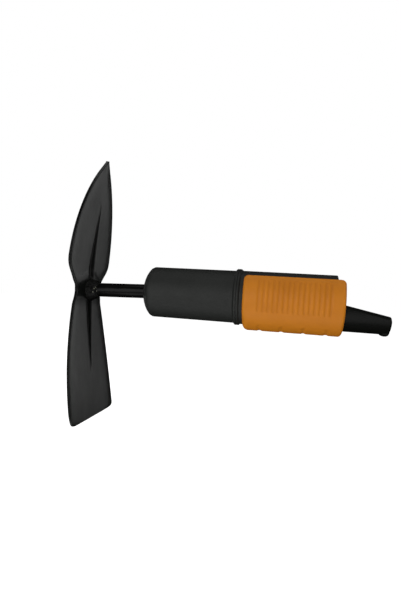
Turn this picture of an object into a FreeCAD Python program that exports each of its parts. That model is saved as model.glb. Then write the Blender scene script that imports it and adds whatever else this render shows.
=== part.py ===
"""Double-ended hoe head with a sliding-sleeve handle coupling, as a parametric assembly.

Frame: millimetres. The origin is on the barrel axis at the coupling shoulder. +X runs towards
the handle, +Z towards the pointed leaf of the blade, and the head is symmetric about Y = 0.
"""
import FreeCAD, Part
import math
import os
import re

import Sketcher

V = FreeCAD.Vector

# Driving sizes: name, value in mm or degrees, meaning.
SIZES = [
    ("blade_thick", 2.4, "thickness of the pressed blade plate"),
    ("neck_half", 18.5, "half width of the blade at its neck"),
    ("leaf_length", 95.7, "length of the leaf along the plate"),
    ("leaf_lean", 2.99, "lean of the leaf towards the handle at the neck"),
    ("leaf_bend", 5.93, "further lean that the leaf gains by its tip"),
    ("leaf_half", 32.2, "largest half width of the leaf"),
    ("leaf_shoulder", 20.0, "height of the leaf's widest place above the neck"),
    ("shoulder_round", 6.5, "radius of the leaf's shoulder"),
    ("neck_round", 10.0, "radius of the blade's outline at the neck"),
    ("tip_half", 0.6, "half width of the blunt tip"),
    ("lower_length", 92.8, "length of the lower blade along the plate"),
    ("lower_lean", 3.51, "lean of the lower blade towards the handle at the neck"),
    ("lower_bend", 6.89, "further lean that the lower blade gains by its edge"),
    ("lower_half", 34.65, "half width of the lower blade at its edge"),
    ("corner_round", 3.5, "radius of the lower blade's corners"),
    ("rib_depth", 1.1, "depth of the pressed ribs"),
    ("rib_half", 4.6, "half width of the pressed ribs at their root"),
    ("rib_start", 11.0, "distance from the neck to the root of each rib"),
    ("leaf_rib", 51.0, "length of the rib in the leaf"),
    ("lower_rib", 48.0, "length of the rib in the lower blade"),
    ("shank_radius", 5.0, "radius of the shank"),
    ("shank_reach", 175.5, "coupling shoulder to the blade's handle side"),
    ("shank_depth", 62.0, "length of the shank behind the barrel's nose"),
    ("cant", 1.66, "angle between the shank and the barrel"),
    ("tenon_radius", 4.0, "radius of the tenon that stands in the blade"),
    ("tenon_length", 1.4, "length of that tenon"),
    ("shank_bevel", 1.0, "bevel at the shank's hidden end"),
    ("weld_leg", 4.0, "radial leg of the root weld"),
    ("weld_run", 9.0, "axial leg of the root weld"),
    ("weld_mid_leg", 2.7, "radial height of the weld where its face bends"),
    ("weld_mid_run", 4.5, "distance of that bend from the blade"),
    ("cap_radius", 5.4, "radius of the plug weld's cap on the front of the blade"),
    ("cap_flat", 3.24, "radius of the flat on that cap"),
    ("cap_height", 0.7, "height of that cap"),
    ("nose_reach", 130.4, "coupling shoulder to the barrel's nose"),
    ("nose_radius", 17.68, "radius of the barrel behind its nose"),
    ("nose_flat", 6.0, "radius of the flat round the shank, where the dome starts"),
    ("nose_dome", 5.4, "length of the domed nose"),
    ("nose_solid", 14.3, "depth of solid plastic behind the nose"),
    ("barrel_radius", 18.0, "radius of the barrel at the ring bead"),
    ("barrel_bore", 14.8, "radius of the barrel's bore"),
    ("ring_reach", 64.4, "coupling shoulder to the parting line in the ring bead"),
    ("ring_half", 2.4, "half width of the ring bead"),
    ("ring_height", 1.3, "height of the ring bead"),
    ("ring_bevel", 0.45, "bevel at the parting line and at the bead's sides"),
    ("spigot_length", 44.0, "length of the core inside the barrel"),
    ("spigot_bevel", 1.0, "bevel at the end of that spigot"),
    ("core_radius", 18.5, "radius of the core and of the tongue"),
    ("rail_height", 17.95, "height of the flat along the top of the core"),
    ("root_length", 46.0, "length of the tongue's root in front of the shoulder"),
    ("lap_height", -0.4, "height of the lap face at the shoulder"),
    ("lap_slope", 11.5, "slope of the lap face"),
    ("tongue_reach", 32.3, "coupling shoulder to the tongue's end, at the lap face"),
    ("end_slope", 6.5, "slope of that end, outwards below"),
    ("bead_place", 30.9, "coupling shoulder to the stop bead"),
    ("bead_round", 2.3, "radius of the stop bead's section"),
    ("bead_height", 1.3, "height of the stop bead below the tongue"),
    ("bead_angle", 44.0, "arc that the stop bead covers"),
    ("sleeve_gap", 2.05, "gap between the ring bead and the sleeve"),
    ("sleeve_length", 64.1, "length of the sleeve"),
    ("sleeve_travel", 24.0, "travel of the sleeve towards the handle"),
    ("sleeve_wall", 3.4, "wall of the sleeve"),
    ("sleeve_edge", 14.5, "height of the sleeve's edges along its open top"),
    ("sleeve_round", 3.0, "radius of the sleeve's upper corners"),
    ("sleeve_bevel", 2.0, "bevel round the sleeve's outer ends"),
    ("grip_count", 15, "number of grip ribs"),
    ("grip_start", 10.35, "sleeve's front end to the first grip groove"),
    ("grip_pitch", 3.2, "pitch of the grip ribs"),
    ("grip_groove", 1.2, "width of a grip groove"),
    ("grip_depth", 0.4, "depth of a grip groove"),
    ("grip_top", 12.3, "top of the grip panel"),
    ("grip_bottom", -9.6, "bottom of the grip panel"),
    ("run_gap", 0.3, "running gap between the sleeve and the core"),
    ("fit_gap", 0.05, "gap between pieces that are fitted together"),
    ("pin_radius", 2.0, "radius of the cross pin"),
    ("pin_inset", 0.5, "each end of the cross pin to the barrel's bore"),
    ("pin_bevel", 0.4, "bevel at the cross pin's ends"),
    ("pin_depth", 34.0, "barrel's nose to the cross pin, along the shank"),
    ("screw_radius", 1.75, "radius of the tongue screws"),
    ("screw_head", 3.5, "radius of their heads"),
    ("head_height", 2.2, "height of their heads"),
    ("head_depth", 3.4, "core's underside to the seat of the heads"),
    ("screw_top", 10.0, "height that the tongue screws reach"),
    ("screw_inset", 6.5, "each end of the root to its screw"),
    ("screw_space", 5.5, "each tongue screw to the nearer end of the detent spring"),
    ("leaf_foot", 3.0, "detent spring's length beyond its screw, and beyond its hump"),
    ("leaf_thick", 0.6, "thickness of the detent spring"),
    ("leaf_wide", 8.0, "width of the detent spring"),
    ("crest_gap", 0.25, "core's underside to the hump's crest"),
    ("crest_half", 1.5, "half length of the hump's crest"),
    ("tail_drop", 1.4, "pocket's floor to the spring's free end"),
    ("pocket_depth", 3.6, "depth of the spring's pocket"),
    ("pocket_room", 1.0, "room round the spring in its pocket, along X"),
    ("pocket_side", 0.5, "room at each side of the spring"),
    ("notch_depth", 0.8, "depth of the sleeve's inner notches"),
    ("notch_wide", 5.0, "length of the sleeve's inner notches"),
    ("stud_radius", 1.25, "radius of the spring's screw"),
    ("stud_length", 7.0, "length of the spring's screw below its head"),
    ("stud_head", 2.4, "radius of that screw's head"),
    ("stud_head_height", 1.2, "height of that screw's head"),
]

# Places and sizes that follow from the driving ones.
WORKED = {
    "shank_out": "(shank_reach - nose_reach)",
    "neck_drop": "(shank_out * tan(cant))",
    "radian": "(180 / pi)",
    "leaf_radius": "(leaf_length * radian / leaf_bend)",
    "leaf_end": "(leaf_lean + leaf_bend)",
    "leaf_tip_x": "(leaf_radius * (cos(leaf_lean) - cos(leaf_end)))",
    "leaf_tip_z": "(leaf_radius * (sin(leaf_end) - sin(leaf_lean)))",
    "lower_radius": "(lower_length * radian / lower_bend)",
    "lower_end": "(lower_lean + lower_bend)",
    "lower_edge_x": "(lower_radius * (cos(lower_lean) - cos(lower_end)))",
    "lower_edge_z": "(lower_radius * (sin(lower_end) - sin(lower_lean)))",
    "leaf_rise": "(leaf_tip_z - leaf_shoulder)",
    "leaf_span": "(leaf_half - tip_half)",
    "leaf_side": "((leaf_rise * leaf_rise + leaf_span * leaf_span) / (2 * leaf_span))",
    "lower_fall": "(lower_edge_z - corner_round)",
    "lower_flare": "(lower_half - neck_half)",
    "lower_side": "((lower_fall * lower_fall + lower_flare * lower_flare) / (2 * lower_flare))",
    "leaf_rib_lean": "(leaf_lean + leaf_bend * (rib_start + leaf_rib / 2) / leaf_length)",
    "lower_rib_lean": "(lower_lean + lower_bend * (rib_start + lower_rib / 2) / lower_length)",
    "rib_taper": "(radian * (rib_half - rib_depth - tip_half))",
    "leaf_rib_tilt": "(leaf_rib_lean - rib_taper / leaf_rib)",
    "lower_rib_tilt": "(lower_rib_lean - rib_taper / lower_rib)",
    "nose_rise": "(nose_radius - nose_flat)",
    "nose_round": "((nose_rise * nose_rise + nose_dome * nose_dome) / (2 * nose_dome))",
    "ring_radius": "(barrel_radius + ring_height)",
    "ring_back": "(ring_half - ring_reach)",
    "sleeve_front": "(ring_back + sleeve_gap)",
    "sleeve_back": "(sleeve_front + sleeve_length)",
    "sleeve_bore": "(core_radius + run_gap)",
    "sleeve_radius": "(sleeve_bore + sleeve_wall)",
    "tip_z": "(lap_height - tongue_reach * tan(lap_slope))",
    "tip_drop": "(core_radius + tip_z)",
    "leaf_place": "(root_length - screw_inset - screw_space - leaf_foot)",
    "leaf_reach": "(leaf_place - screw_inset - screw_space - leaf_foot)",
    "hump_place": "(leaf_reach - leaf_place)",
    "shoulder_in": "(shoulder_round * (1 - cos(45)))",
    "shoulder_down": "(shoulder_round * sin(45))",
    "neck_in": "(neck_round * (1 - cos(45)))",
    "neck_up": "(neck_round * sin(45))",
}

doc = FreeCAD.newDocument("hoe_head")
sheet = doc.addObject("Spreadsheet::Sheet", "sizes")
for row, (alias, number, meaning) in enumerate(SIZES, start=1):
    sheet.set("A%d" % row, meaning)
    sheet.set("B%d" % row, str(number))
    sheet.setAlias("B%d" % row, alias)
doc.recompute()
ALIASES = {alias for alias, number, meaning in SIZES}


def bound(text):
    """Writes a formula of size names as an expression on the sheet's cells."""
    def word(match):
        name = match.group(0)
        if name in WORKED:
            return bound(WORKED[name])
        return "<<sizes>>." + name if name in ALIASES else name

    return re.sub(r"[a-z][a-z_]*", word, str(text))


def size(text):
    """Reads the present value of a formula of size names."""
    return float(sheet.evalExpression(bound(text)))


def bind(thing, **formulas):
    """Binds properties of an object to formulas of size names."""
    for prop, formula in formulas.items():
        thing.setExpression(prop, bound(formula))
    return thing


def place(thing, x=0, y=0, z=0, axis=V(0, 1, 0), angle=0):
    """Puts an object at a bound place, turned about an axis by a bound angle."""
    turn = FreeCAD.Rotation(axis, size(angle)) if angle else FreeCAD.Rotation()
    thing.Placement = FreeCAD.Placement(V(), turn)
    for part, formula in (("x", x), ("y", y), ("z", z)):
        thing.setExpression("Placement.Base." + part, bound(formula))
    if angle:
        thing.setExpression("Placement.Rotation.Angle", bound(angle))
    return thing


def along_shank(thing, distance=0):
    """Puts a turned body on the canted shank axis, at a distance behind the barrel's nose."""
    x = "%s * cos(cant) - nose_reach" % distance
    return place(thing, x, 0, "%s * sin(cant)" % distance, angle="0 - cant")


def sketch_on(body, name, role):
    """Makes a sketch on one of the body's own origin planes."""
    sketch = body.newObject("Sketcher::SketchObject", name)
    plane = next(f for f in body.Origin.OriginFeatures if f.Role == role)
    sketch.AttachmentSupport = [(plane, "")]
    sketch.MapMode = "FlatFace"
    return sketch


def edge_between(start, end, radius, turn):
    """An arc from start to end, and which of its ends comes first. A turn of 1 is to the left."""
    chord = end - start
    side = V(-chord.y, chord.x, 0).normalize() * turn
    centre = (start + end) / 2 + side * math.sqrt(max(radius ** 2 - chord.Length ** 2 / 4, 0))
    first, last = (start, end) if turn > 0 else (end, start)
    angles = [math.atan2(p.y - centre.y, p.x - centre.x) for p in (first, last)]
    arc = Part.ArcOfCircle(Part.Circle(centre, V(0, 0, 1), radius), *angles)
    return arc, (1, 2) if turn > 0 else (2, 1)


def draw_loop(sketch, steps):
    """Draws a closed loop with every corner bound. A step is (x, y) for a line that ends there,
    or (x, y, radius, turn) for an arc."""
    corners = [V(size(step[0]), size(step[1]), 0) for step in steps]
    base = sketch.GeometryCount
    ends = []
    for index, step in enumerate(steps):
        start, end = corners[index - 1], corners[index]
        if len(step) == 2:
            curve, order = Part.LineSegment(start, end), (1, 2)
        else:
            curve, order = edge_between(start, end, size(step[2]), step[3])
        sketch.addGeometry(curve)
        ends.append(order)
    rules, formulas = [], []
    for index, step in enumerate(steps):
        this, after = base + index, base + (index + 1) % len(steps)
        tail, head = ends[index][1], ends[(index + 1) % len(steps)][0]
        rules.append(Sketcher.Constraint("Coincident", this, tail, after, head))
        formulas.append(None)
        rules.append(Sketcher.Constraint("DistanceX", -1, 1, this, tail, corners[index].x))
        formulas.append(step[0])
        rules.append(Sketcher.Constraint("DistanceY", -1, 1, this, tail, corners[index].y))
        formulas.append(step[1])
        if len(step) == 4:
            rules.append(Sketcher.Constraint("Radius", this, size(step[2])))
            formulas.append(step[2])
    count = sketch.ConstraintCount
    sketch.addConstraint(rules)
    for index, formula in enumerate(formulas):
        if formula is not None:
            sketch.setExpression("Constraints[%d]" % (count + index), bound(formula))


def turned(name, steps):
    """A body turned about its own X axis from a profile of (x, radius) corners."""
    body = doc.addObject("PartDesign::Body", name)
    sketch = sketch_on(body, name + "_profile", "XZ_Plane")
    draw_loop(sketch, steps)
    turn = body.newObject("PartDesign::Revolution", name + "_turn")
    turn.Profile = sketch
    turn.ReferenceAxis = (sketch, ["H_Axis"])
    turn.Angle = 360
    return body


def slab(name, role, steps, width):
    """A body padded equally to both sides of an origin plane."""
    body = doc.addObject("PartDesign::Body", name)
    sketch = sketch_on(body, name + "_profile", role)
    draw_loop(sketch, steps)
    pad = body.newObject("PartDesign::Pad", name + "_pad")
    pad.Profile = sketch
    pad.Midplane = True
    bind(pad, Length=width)
    return body


def rod(name, radius, length, **spot):
    """A plain cylinder, along +Z before it is placed."""
    return place(bind(doc.addObject("Part::Cylinder", name), Radius=radius, Height=length), **spot)


def block(name, length, width, height, **spot):
    """A plain box from its lowest corner."""
    box = bind(doc.addObject("Part::Box", name), Length=length, Width=width, Height=height)
    return place(box, **spot)


def cut(name, base, *tools):
    """Cuts tools from a base, one after another."""
    for index, tool in enumerate(tools, start=1):
        last = index == len(tools)
        made = doc.addObject("Part::Cut", name if last else "%s_cut_%d" % (name, index))
        made.Base, made.Tool = base, tool
        base = made
    return base


def joined(name, *things):
    """Fuses solids into one."""
    made = doc.addObject("Part::MultiFuse", name)
    made.Shapes = list(things)
    return made


def shared(name, one, other):
    """Keeps what two solids have in common."""
    made = doc.addObject("Part::MultiCommon", name)
    made.Shapes = [one, other]
    return made


def group(name, *things):
    """Keeps separate solids together as one sub-part."""
    made = doc.addObject("Part::Compound", name)
    made.Links = list(things)
    return made


def blade_plate():
    """The bent plate, trimmed to its outline. Its own origin is at the neck, on the handle side."""
    plate = slab("plate", "XZ_Plane", [
        ("leaf_tip_x", "leaf_tip_z", "leaf_radius", -1),
        ("leaf_tip_x - blade_thick * cos(leaf_end)", "leaf_tip_z + blade_thick * sin(leaf_end)"),
        ("0 - blade_thick * cos(leaf_lean)", "blade_thick * sin(leaf_lean)",
         "leaf_radius + blade_thick", 1),
        ("0 - blade_thick * cos(lower_lean)", "0 - blade_thick * sin(lower_lean)"),
        ("lower_edge_x - blade_thick * cos(lower_end)",
         "0 - lower_edge_z - blade_thick * sin(lower_end)", "lower_radius + blade_thick", 1),
        ("lower_edge_x", "0 - lower_edge_z"),
        ("0", "0", "lower_radius", -1),
    ], "2 * lower_half + 2")
    right = [
        ("tip_half", "leaf_tip_z"),
        ("leaf_half", "leaf_shoulder", "leaf_side", -1),
        ("leaf_half - shoulder_in", "leaf_shoulder - shoulder_down", "shoulder_round", -1),
        ("neck_half + neck_in", "neck_up"),
        ("neck_half", "0", "neck_round", 1),
        ("lower_half", "0 - lower_fall", "lower_side", -1),
        ("lower_half - corner_round", "0 - lower_edge_z", "corner_round", -1),
    ]
    left = []
    for index in range(len(right) - 1, -1, -1):
        arc = right[(index + 1) % len(right)][2:]
        left.append(("0 - (%s)" % right[index][0], right[index][1]) + tuple(arc))
    outline = slab("outline", "YZ_Plane", right + left, "4 * (leaf_tip_x + lower_edge_x)")
    return shared("trimmed_plate", plate, outline)


def rib_cone(name, length, lean, tilt, depth, sign):
    """A long cone that shapes one pressed rib, up the leaf or down the lower blade.
    Its root lies at a depth in the plate's handle side."""
    cone = bind(doc.addObject("Part::Cone", name), Radius1="rib_half", Radius2="tip_half",
                Height=length)
    slope = tilt if sign > 0 else "180 - " + tilt
    x = "rib_half - (%s) + rib_start * tan(%s)" % (depth, lean)
    return place(cone, x, 0, "%d * rib_start" % sign, angle=slope)


def make_blade():
    """Pressed plate with a rib in each half, the tenon's hole and a seat for the shank."""
    ridges = []
    hollows = []
    for rib, lean, sign in (("leaf_rib", "leaf_lean", 1), ("lower_rib", "lower_lean", -1)):
        shape = (rib, lean, rib + "_tilt")
        hollows.append(rib_cone(rib + "_hollow", *shape, "rib_depth", sign))
        ridges.append(rib_cone(rib + "_ridge", *shape, "rib_depth + blade_thick", sign))
    hole = rod("tenon_hole", "tenon_radius + fit_gap", "4 * blade_thick",
               x="0 - 2 * blade_thick", angle="90 - cant")
    ridged = joined("ridged_plate", blade_plate(), *ridges)
    pressed = cut("pressed_plate", ridged, *hollows, hole)
    place(pressed, "0 - shank_reach", 0, "0 - neck_drop")
    seat = rod("shank_seat", "shank_radius", "shank_radius",
               x="0 - nose_reach - shank_out * cos(cant)", z="0 - shank_out * sin(cant)",
               angle="90 - cant")
    return cut("blade", pressed, seat)


def make_shank():
    """Round rod with a tenon for the blade and a cross hole for its pin."""
    blank = along_shank(turned("shank_blank", [
        ("0 - shank_out - tenon_length", "0"),
        ("0 - shank_out - tenon_length", "tenon_radius"),
        ("0 - shank_out", "tenon_radius"),
        ("0 - shank_out", "shank_radius"),
        ("shank_depth - shank_bevel", "shank_radius"),
        ("shank_depth", "shank_radius - shank_bevel"),
        ("shank_depth", "0"),
    ]))
    return cut("shank", blank, pin_hole("shank_pin_hole"))


def pin_hole(name):
    """The cross hole that the shank and the core share."""
    return rod(name, "pin_radius + fit_gap", "3 * barrel_bore",
               x="pin_depth * cos(cant) - nose_reach", y="0 - 1.5 * barrel_bore",
               z="pin_depth * sin(cant)", axis=V(1, 0, 0), angle="0 - 90")


def make_welds(blade):
    """The fillet weld round the shank's root, and the plug weld on the front of the blade.
    Each is drawn into the plate, then trimmed where it meets the plate."""
    fillet = along_shank(turned("root_weld_blank", [
        ("0 - shank_out - blade_thick / 4", "shank_radius"),
        ("0 - shank_out - blade_thick / 4", "shank_radius + weld_leg"),
        ("0 - shank_out", "shank_radius + weld_leg"),
        ("weld_mid_run - shank_out", "shank_radius + weld_mid_leg"),
        ("weld_run - shank_out", "shank_radius"),
    ]))
    plug = along_shank(turned("tenon_weld_blank", [
        ("0 - shank_out - tenon_length", "0"),
        ("0 - shank_out - tenon_length", "cap_radius"),
        ("0 - shank_out - blade_thick", "cap_radius"),
        ("0 - shank_out - blade_thick - cap_height", "cap_flat"),
        ("0 - shank_out - blade_thick - cap_height", "0"),
    ]))
    return cut("root_weld", fillet, blade), cut("tenon_weld", plug, blade)


def make_barrel():
    """Hollow housing with a domed nose, ending in the front half of the ring bead."""
    blank = turned("barrel_blank", [
        ("0 - nose_reach", "0"),
        ("0 - nose_reach", "nose_flat"),
        ("nose_dome - nose_reach", "nose_radius", "nose_round", -1),
        ("0 - ring_reach - ring_half", "barrel_radius"),
        ("ring_bevel - ring_reach - ring_half", "ring_radius"),
        ("0 - ring_reach - ring_bevel", "ring_radius"),
        ("0 - ring_reach", "ring_radius - ring_bevel"),
        ("0 - ring_reach", "barrel_bore"),
        ("nose_solid - nose_reach", "barrel_bore"),
        ("nose_solid - nose_reach", "0"),
    ])
    mouth = rod("nose_hole", "shank_radius + fit_gap", "2 * nose_solid",
                x="0 - nose_reach - nose_solid * 0.5 * cos(cant)",
                z="0 - nose_solid * 0.5 * sin(cant)", angle="90 - cant")
    return cut("barrel", blank, mouth)


def make_core():
    """Moulding behind the parting line: spigot, half bead, core under the sleeve and shoulder."""
    blank = turned("core_blank", [
        ("0 - ring_reach - spigot_length", "0"),
        ("0 - ring_reach - spigot_length", "barrel_bore - fit_gap - spigot_bevel"),
        ("spigot_bevel - ring_reach - spigot_length", "barrel_bore - fit_gap"),
        ("0 - ring_reach", "barrel_bore - fit_gap"),
        ("0 - ring_reach", "ring_radius - ring_bevel"),
        ("ring_bevel - ring_reach", "ring_radius"),
        ("ring_back - ring_bevel", "ring_radius"),
        ("ring_back", "core_radius"),
        ("0", "core_radius"),
        ("0", "0"),
    ])
    lower = block("root_space", "root_length + 1", "4 * core_radius", "2 * core_radius",
                  x="0 - root_length", y="0 - 2 * core_radius", z="lap_height - 2 * core_radius")
    flat = block("rail_flat", "1 - ring_back", "4 * core_radius", "core_radius",
                 x="ring_back", y="0 - 2 * core_radius", z="rail_height")
    bore = rod("shank_bore", "shank_radius + fit_gap", "2 * shank_depth",
               x="0 - nose_reach - shank_depth * cos(cant)", z="0 - shank_depth * sin(cant)",
               angle="90 - cant")
    pilots = [rod("pilot_%d" % index, "screw_radius + fit_gap", "screw_top - lap_height + 2",
                  x=place_x, z="lap_height - 1")
              for index, place_x in enumerate(screw_places(), start=1)]
    return cut("coupling_core", blank, lower, flat, bore, pin_hole("core_pin_hole"), *pilots)


def screw_places():
    """Distance along X of the two tongue screws."""
    return "screw_inset - root_length", "0 - screw_inset"


def make_tongue():
    """Half-round tongue with a sloping lap face, a root under the core and a stop bead."""
    side = slab("tongue_side", "XZ_Plane", [
        ("0 - root_length", "0 - 2 * core_radius"),
        ("0 - root_length", "lap_height"),
        ("0", "lap_height"),
        ("tongue_reach", "tip_z"),
        ("tongue_reach + 2 * tip_drop * tan(end_slope)", "tip_z - 2 * tip_drop"),
    ], "4 * core_radius")
    round_bar = rod("tongue_round", "core_radius", "root_length + 2 * tongue_reach",
                    x="0 - root_length - 1", angle="90")
    bead = bind(doc.addObject("Part::Torus", "stop_bead"),
                Radius1="core_radius + bead_height - bead_round", Radius2="bead_round",
                Angle3="bead_angle")
    place(bead, "bead_place", angle="90")
    spin = place(group("bead_turned", bead), axis=V(1, 0, 0), angle="0 - bead_angle / 2")
    solid = joined("tongue_solid", shared("tongue_blank", side, round_bar), spin)
    holes = []
    for index, place_x in enumerate(screw_places(), start=1):
        holes.append(rod("screw_way_%d" % index, "screw_radius + fit_gap", "2 * core_radius",
                         x=place_x, z="0 - core_radius - 1"))
        holes.append(rod("screw_seat_%d" % index, "screw_head + fit_gap", "head_depth + 1",
                         x=place_x, z="0 - core_radius - 1"))
    pocket = block("spring_pocket", "leaf_reach + 2 * leaf_foot + 2 * pocket_room",
                   "leaf_wide + 2 * pocket_side", "pocket_depth + 1",
                   x="0 - leaf_place - leaf_foot - pocket_room",
                   y="0 - leaf_wide / 2 - pocket_side", z="0 - core_radius - 1")
    stud_way = rod("stud_way", "stud_radius + fit_gap", "2 * stud_length", x="0 - leaf_place",
                   z="pocket_depth - core_radius - stud_length")
    return cut("tongue", solid, *holes, pocket, stud_way)


def make_sleeve():
    """Locking sleeve, open along the top, with grip ribs outside and two notches inside."""
    shell = turned("sleeve_shell", [
        ("sleeve_front", "sleeve_bore"),
        ("sleeve_front", "sleeve_radius - sleeve_bevel"),
        ("sleeve_front + sleeve_bevel", "sleeve_radius", "sleeve_bevel", -1),
        ("sleeve_back - sleeve_bevel", "sleeve_radius"),
        ("sleeve_back", "sleeve_radius - sleeve_bevel", "sleeve_bevel", -1),
        ("sleeve_back", "sleeve_bore"),
    ])
    side = slab("sleeve_side", "XZ_Plane", [
        ("sleeve_front", "0 - 2 * sleeve_radius"),
        ("sleeve_front", "sleeve_edge - sleeve_round"),
        ("sleeve_front + sleeve_round", "sleeve_edge", "sleeve_round", -1),
        ("sleeve_back - sleeve_round", "sleeve_edge"),
        ("sleeve_back", "sleeve_edge - sleeve_round", "sleeve_round", -1),
        ("sleeve_back", "0 - 2 * sleeve_radius"),
    ], "4 * sleeve_radius")
    bars = [block("grip_bar_%d" % index, "grip_groove", "4 * sleeve_radius",
                  "grip_top - grip_bottom", x="sleeve_front + grip_start + grip_pitch * %d" % index,
                  y="0 - 2 * sleeve_radius", z="grip_bottom")
            for index in range(int(size("grip_count")))]
    inside = rod("grip_inside", "sleeve_radius - grip_depth", "2 * sleeve_length",
                 x="sleeve_front - sleeve_length / 2", angle="90")
    grooves = cut("grip_grooves", group("grip_bars", *bars), inside)
    notches = [block("notch_%d" % index, "notch_wide", "leaf_wide + 2 * pocket_side",
                     "sleeve_bore + notch_depth",
                     x="hump_place - notch_wide / 2 - sleeve_travel * %d" % index,
                     y="0 - leaf_wide / 2 - pocket_side", z="0 - sleeve_bore - notch_depth")
               for index in range(2)]
    return cut("locking_sleeve", shared("sleeve_open", shell, side), grooves, *notches)


def make_pin():
    """Cross pin with chamfered ends."""
    half = "(barrel_bore - pin_inset)"
    pin = turned("shank_pin", [
        ("0 - " + half, "0"),
        ("0 - " + half, "pin_radius - pin_bevel"),
        ("pin_bevel - " + half, "pin_radius"),
        (half + " - pin_bevel", "pin_radius"),
        (half, "pin_radius - pin_bevel"),
        (half, "0"),
    ])
    return place(pin, "pin_depth * cos(cant) - nose_reach", 0, "pin_depth * sin(cant)",
                 axis=V(0, 0, 1), angle="90")


# Shares of a screw's own sizes: head's top against its base, point against thread, socket's
# radius against the head's and its depth against the head's height.
HEAD_TOP = 0.9
POINT = 0.4
SOCKET_SIZE = 0.5
SOCKET_DEPTH = 0.6


def headed_screw(name, radius, head, head_height, length):
    """A screw along +X, with its head below X = 0 and a hexagonal socket in the head."""
    blank = turned(name + "_blank", [
        ("0 - (%s)" % head_height, "0"),
        ("0 - (%s)" % head_height, "%s * %s" % (head, HEAD_TOP)),
        ("0", head),
        ("0", radius),
        ("%s - %s" % (length, radius), radius),
        (length, "%s * %s" % (radius, POINT)),
        (length, "0"),
    ])
    socket = bind(doc.addObject("Part::Prism", name + "_socket"), Polygon="6",
                  Circumradius="%s * %s" % (head, SOCKET_SIZE), Height=head_height)
    place(socket, "0 - (%s) * %s" % (head_height, 2 - SOCKET_DEPTH), angle="90")
    return cut(name, blank, socket)


def make_screws():
    """The two tongue screws as one group, and the detent spring's screw."""
    seat = "head_depth - core_radius"
    pair = [place(headed_screw("tongue_screw_%d" % index, "screw_radius", "screw_head",
                               "head_height", "screw_top - (%s)" % seat),
                  place_x, 0, seat, angle="0 - 90")
            for index, place_x in enumerate(screw_places(), start=1)]
    group("tongue_screws", *pair)
    place(headed_screw("spring_screw", "stud_radius", "stud_head", "stud_head_height",
                       "stud_length - 1"),
          "0 - leaf_place", 0, "pocket_depth - leaf_thick - core_radius", angle="0 - 90")


def make_spring():
    """Leaf spring: a flat foot on the pocket's floor and a hump pressed flush with the core."""
    floor = "pocket_depth - core_radius"
    crest = "crest_gap - core_radius"
    leaf = slab("spring_leaf", "XZ_Plane", [
        ("0 - leaf_foot", floor),
        ("0 - leaf_foot", floor + " - leaf_thick"),
        ("leaf_foot", floor + " - leaf_thick"),
        ("leaf_reach - crest_half", crest),
        ("leaf_reach + crest_half", crest),
        ("leaf_reach + leaf_foot", floor + " - tail_drop - leaf_thick"),
        ("leaf_reach + leaf_foot", floor + " - tail_drop"),
        ("leaf_reach + crest_half - leaf_thick / 3", crest + " + leaf_thick"),
        ("leaf_reach - crest_half + leaf_thick / 3", crest + " + leaf_thick"),
        ("leaf_foot + leaf_thick / 3", floor),
    ], "leaf_wide")
    place(leaf, "0 - leaf_place")
    hole = rod("leaf_hole", "stud_radius + fit_gap", "4 * pocket_depth",
               x="0 - leaf_place", z="0 - core_radius - 1")
    return cut("detent_spring", leaf, hole)


make_shank()
make_welds(make_blade())
make_barrel()
make_core()
make_tongue()
make_sleeve()
make_pin()
make_screws()
make_spring()
doc.recompute()

NODES = ["blade", "shank", "root_weld", "tenon_weld", "barrel", "coupling_core", "tongue",
         "locking_sleeve", "shank_pin", "tongue_screws", "detent_spring", "spring_screw"]

failed = [o.Name for o in doc.Objects if "Invalid" in o.State or "Error" in o.State]
if failed:
    raise RuntimeError("failed objects: %s" % failed)
os.makedirs("parts", exist_ok=True)
for label in NODES:
    shape = doc.getObjectsByLabel(label)[0].Shape
    if shape.isNull() or not shape.isValid() or not shape.Solids:
        raise RuntimeError("%s has no valid solid" % label)
for label in NODES:
    shape = doc.getObjectsByLabel(label)[0].Shape
    shape.exportStep("parts/%s.step" % label)
    print("%-16s %d solid(s) %10.1f mm3" % (label, len(shape.Solids), shape.Volume))
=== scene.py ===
"""The looks of the hoe head: pressed blade, welded shank, moulded housing and locking sleeve.

Shapes are worked out in millimetres in the CAD frame and turned into metres by mesh_piece().
+X runs towards the handle, +Z towards the pointed leaf, and the camera looks along +Y.
"""

import math

import bpy
from mathutils import Matrix, Vector, noise


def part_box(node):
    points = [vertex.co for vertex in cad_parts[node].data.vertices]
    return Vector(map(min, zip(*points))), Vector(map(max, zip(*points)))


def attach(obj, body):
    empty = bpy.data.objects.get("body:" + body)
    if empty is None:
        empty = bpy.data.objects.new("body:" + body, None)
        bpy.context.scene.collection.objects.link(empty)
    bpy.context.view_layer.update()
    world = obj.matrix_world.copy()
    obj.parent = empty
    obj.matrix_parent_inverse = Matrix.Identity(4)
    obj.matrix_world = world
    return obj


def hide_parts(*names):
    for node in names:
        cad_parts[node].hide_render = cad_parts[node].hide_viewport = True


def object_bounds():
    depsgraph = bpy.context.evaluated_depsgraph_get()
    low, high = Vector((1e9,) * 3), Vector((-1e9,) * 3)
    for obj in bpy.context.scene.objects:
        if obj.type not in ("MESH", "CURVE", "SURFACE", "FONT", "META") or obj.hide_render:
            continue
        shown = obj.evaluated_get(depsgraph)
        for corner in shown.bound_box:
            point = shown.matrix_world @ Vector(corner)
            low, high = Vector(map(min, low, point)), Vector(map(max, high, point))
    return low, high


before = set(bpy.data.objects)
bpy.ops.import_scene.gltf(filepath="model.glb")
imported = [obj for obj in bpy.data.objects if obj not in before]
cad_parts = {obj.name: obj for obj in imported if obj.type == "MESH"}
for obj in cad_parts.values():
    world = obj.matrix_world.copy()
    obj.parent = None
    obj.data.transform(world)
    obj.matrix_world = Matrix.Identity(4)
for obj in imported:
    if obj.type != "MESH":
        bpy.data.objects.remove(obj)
cad_low, cad_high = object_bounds()

MM = 0.001


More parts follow.
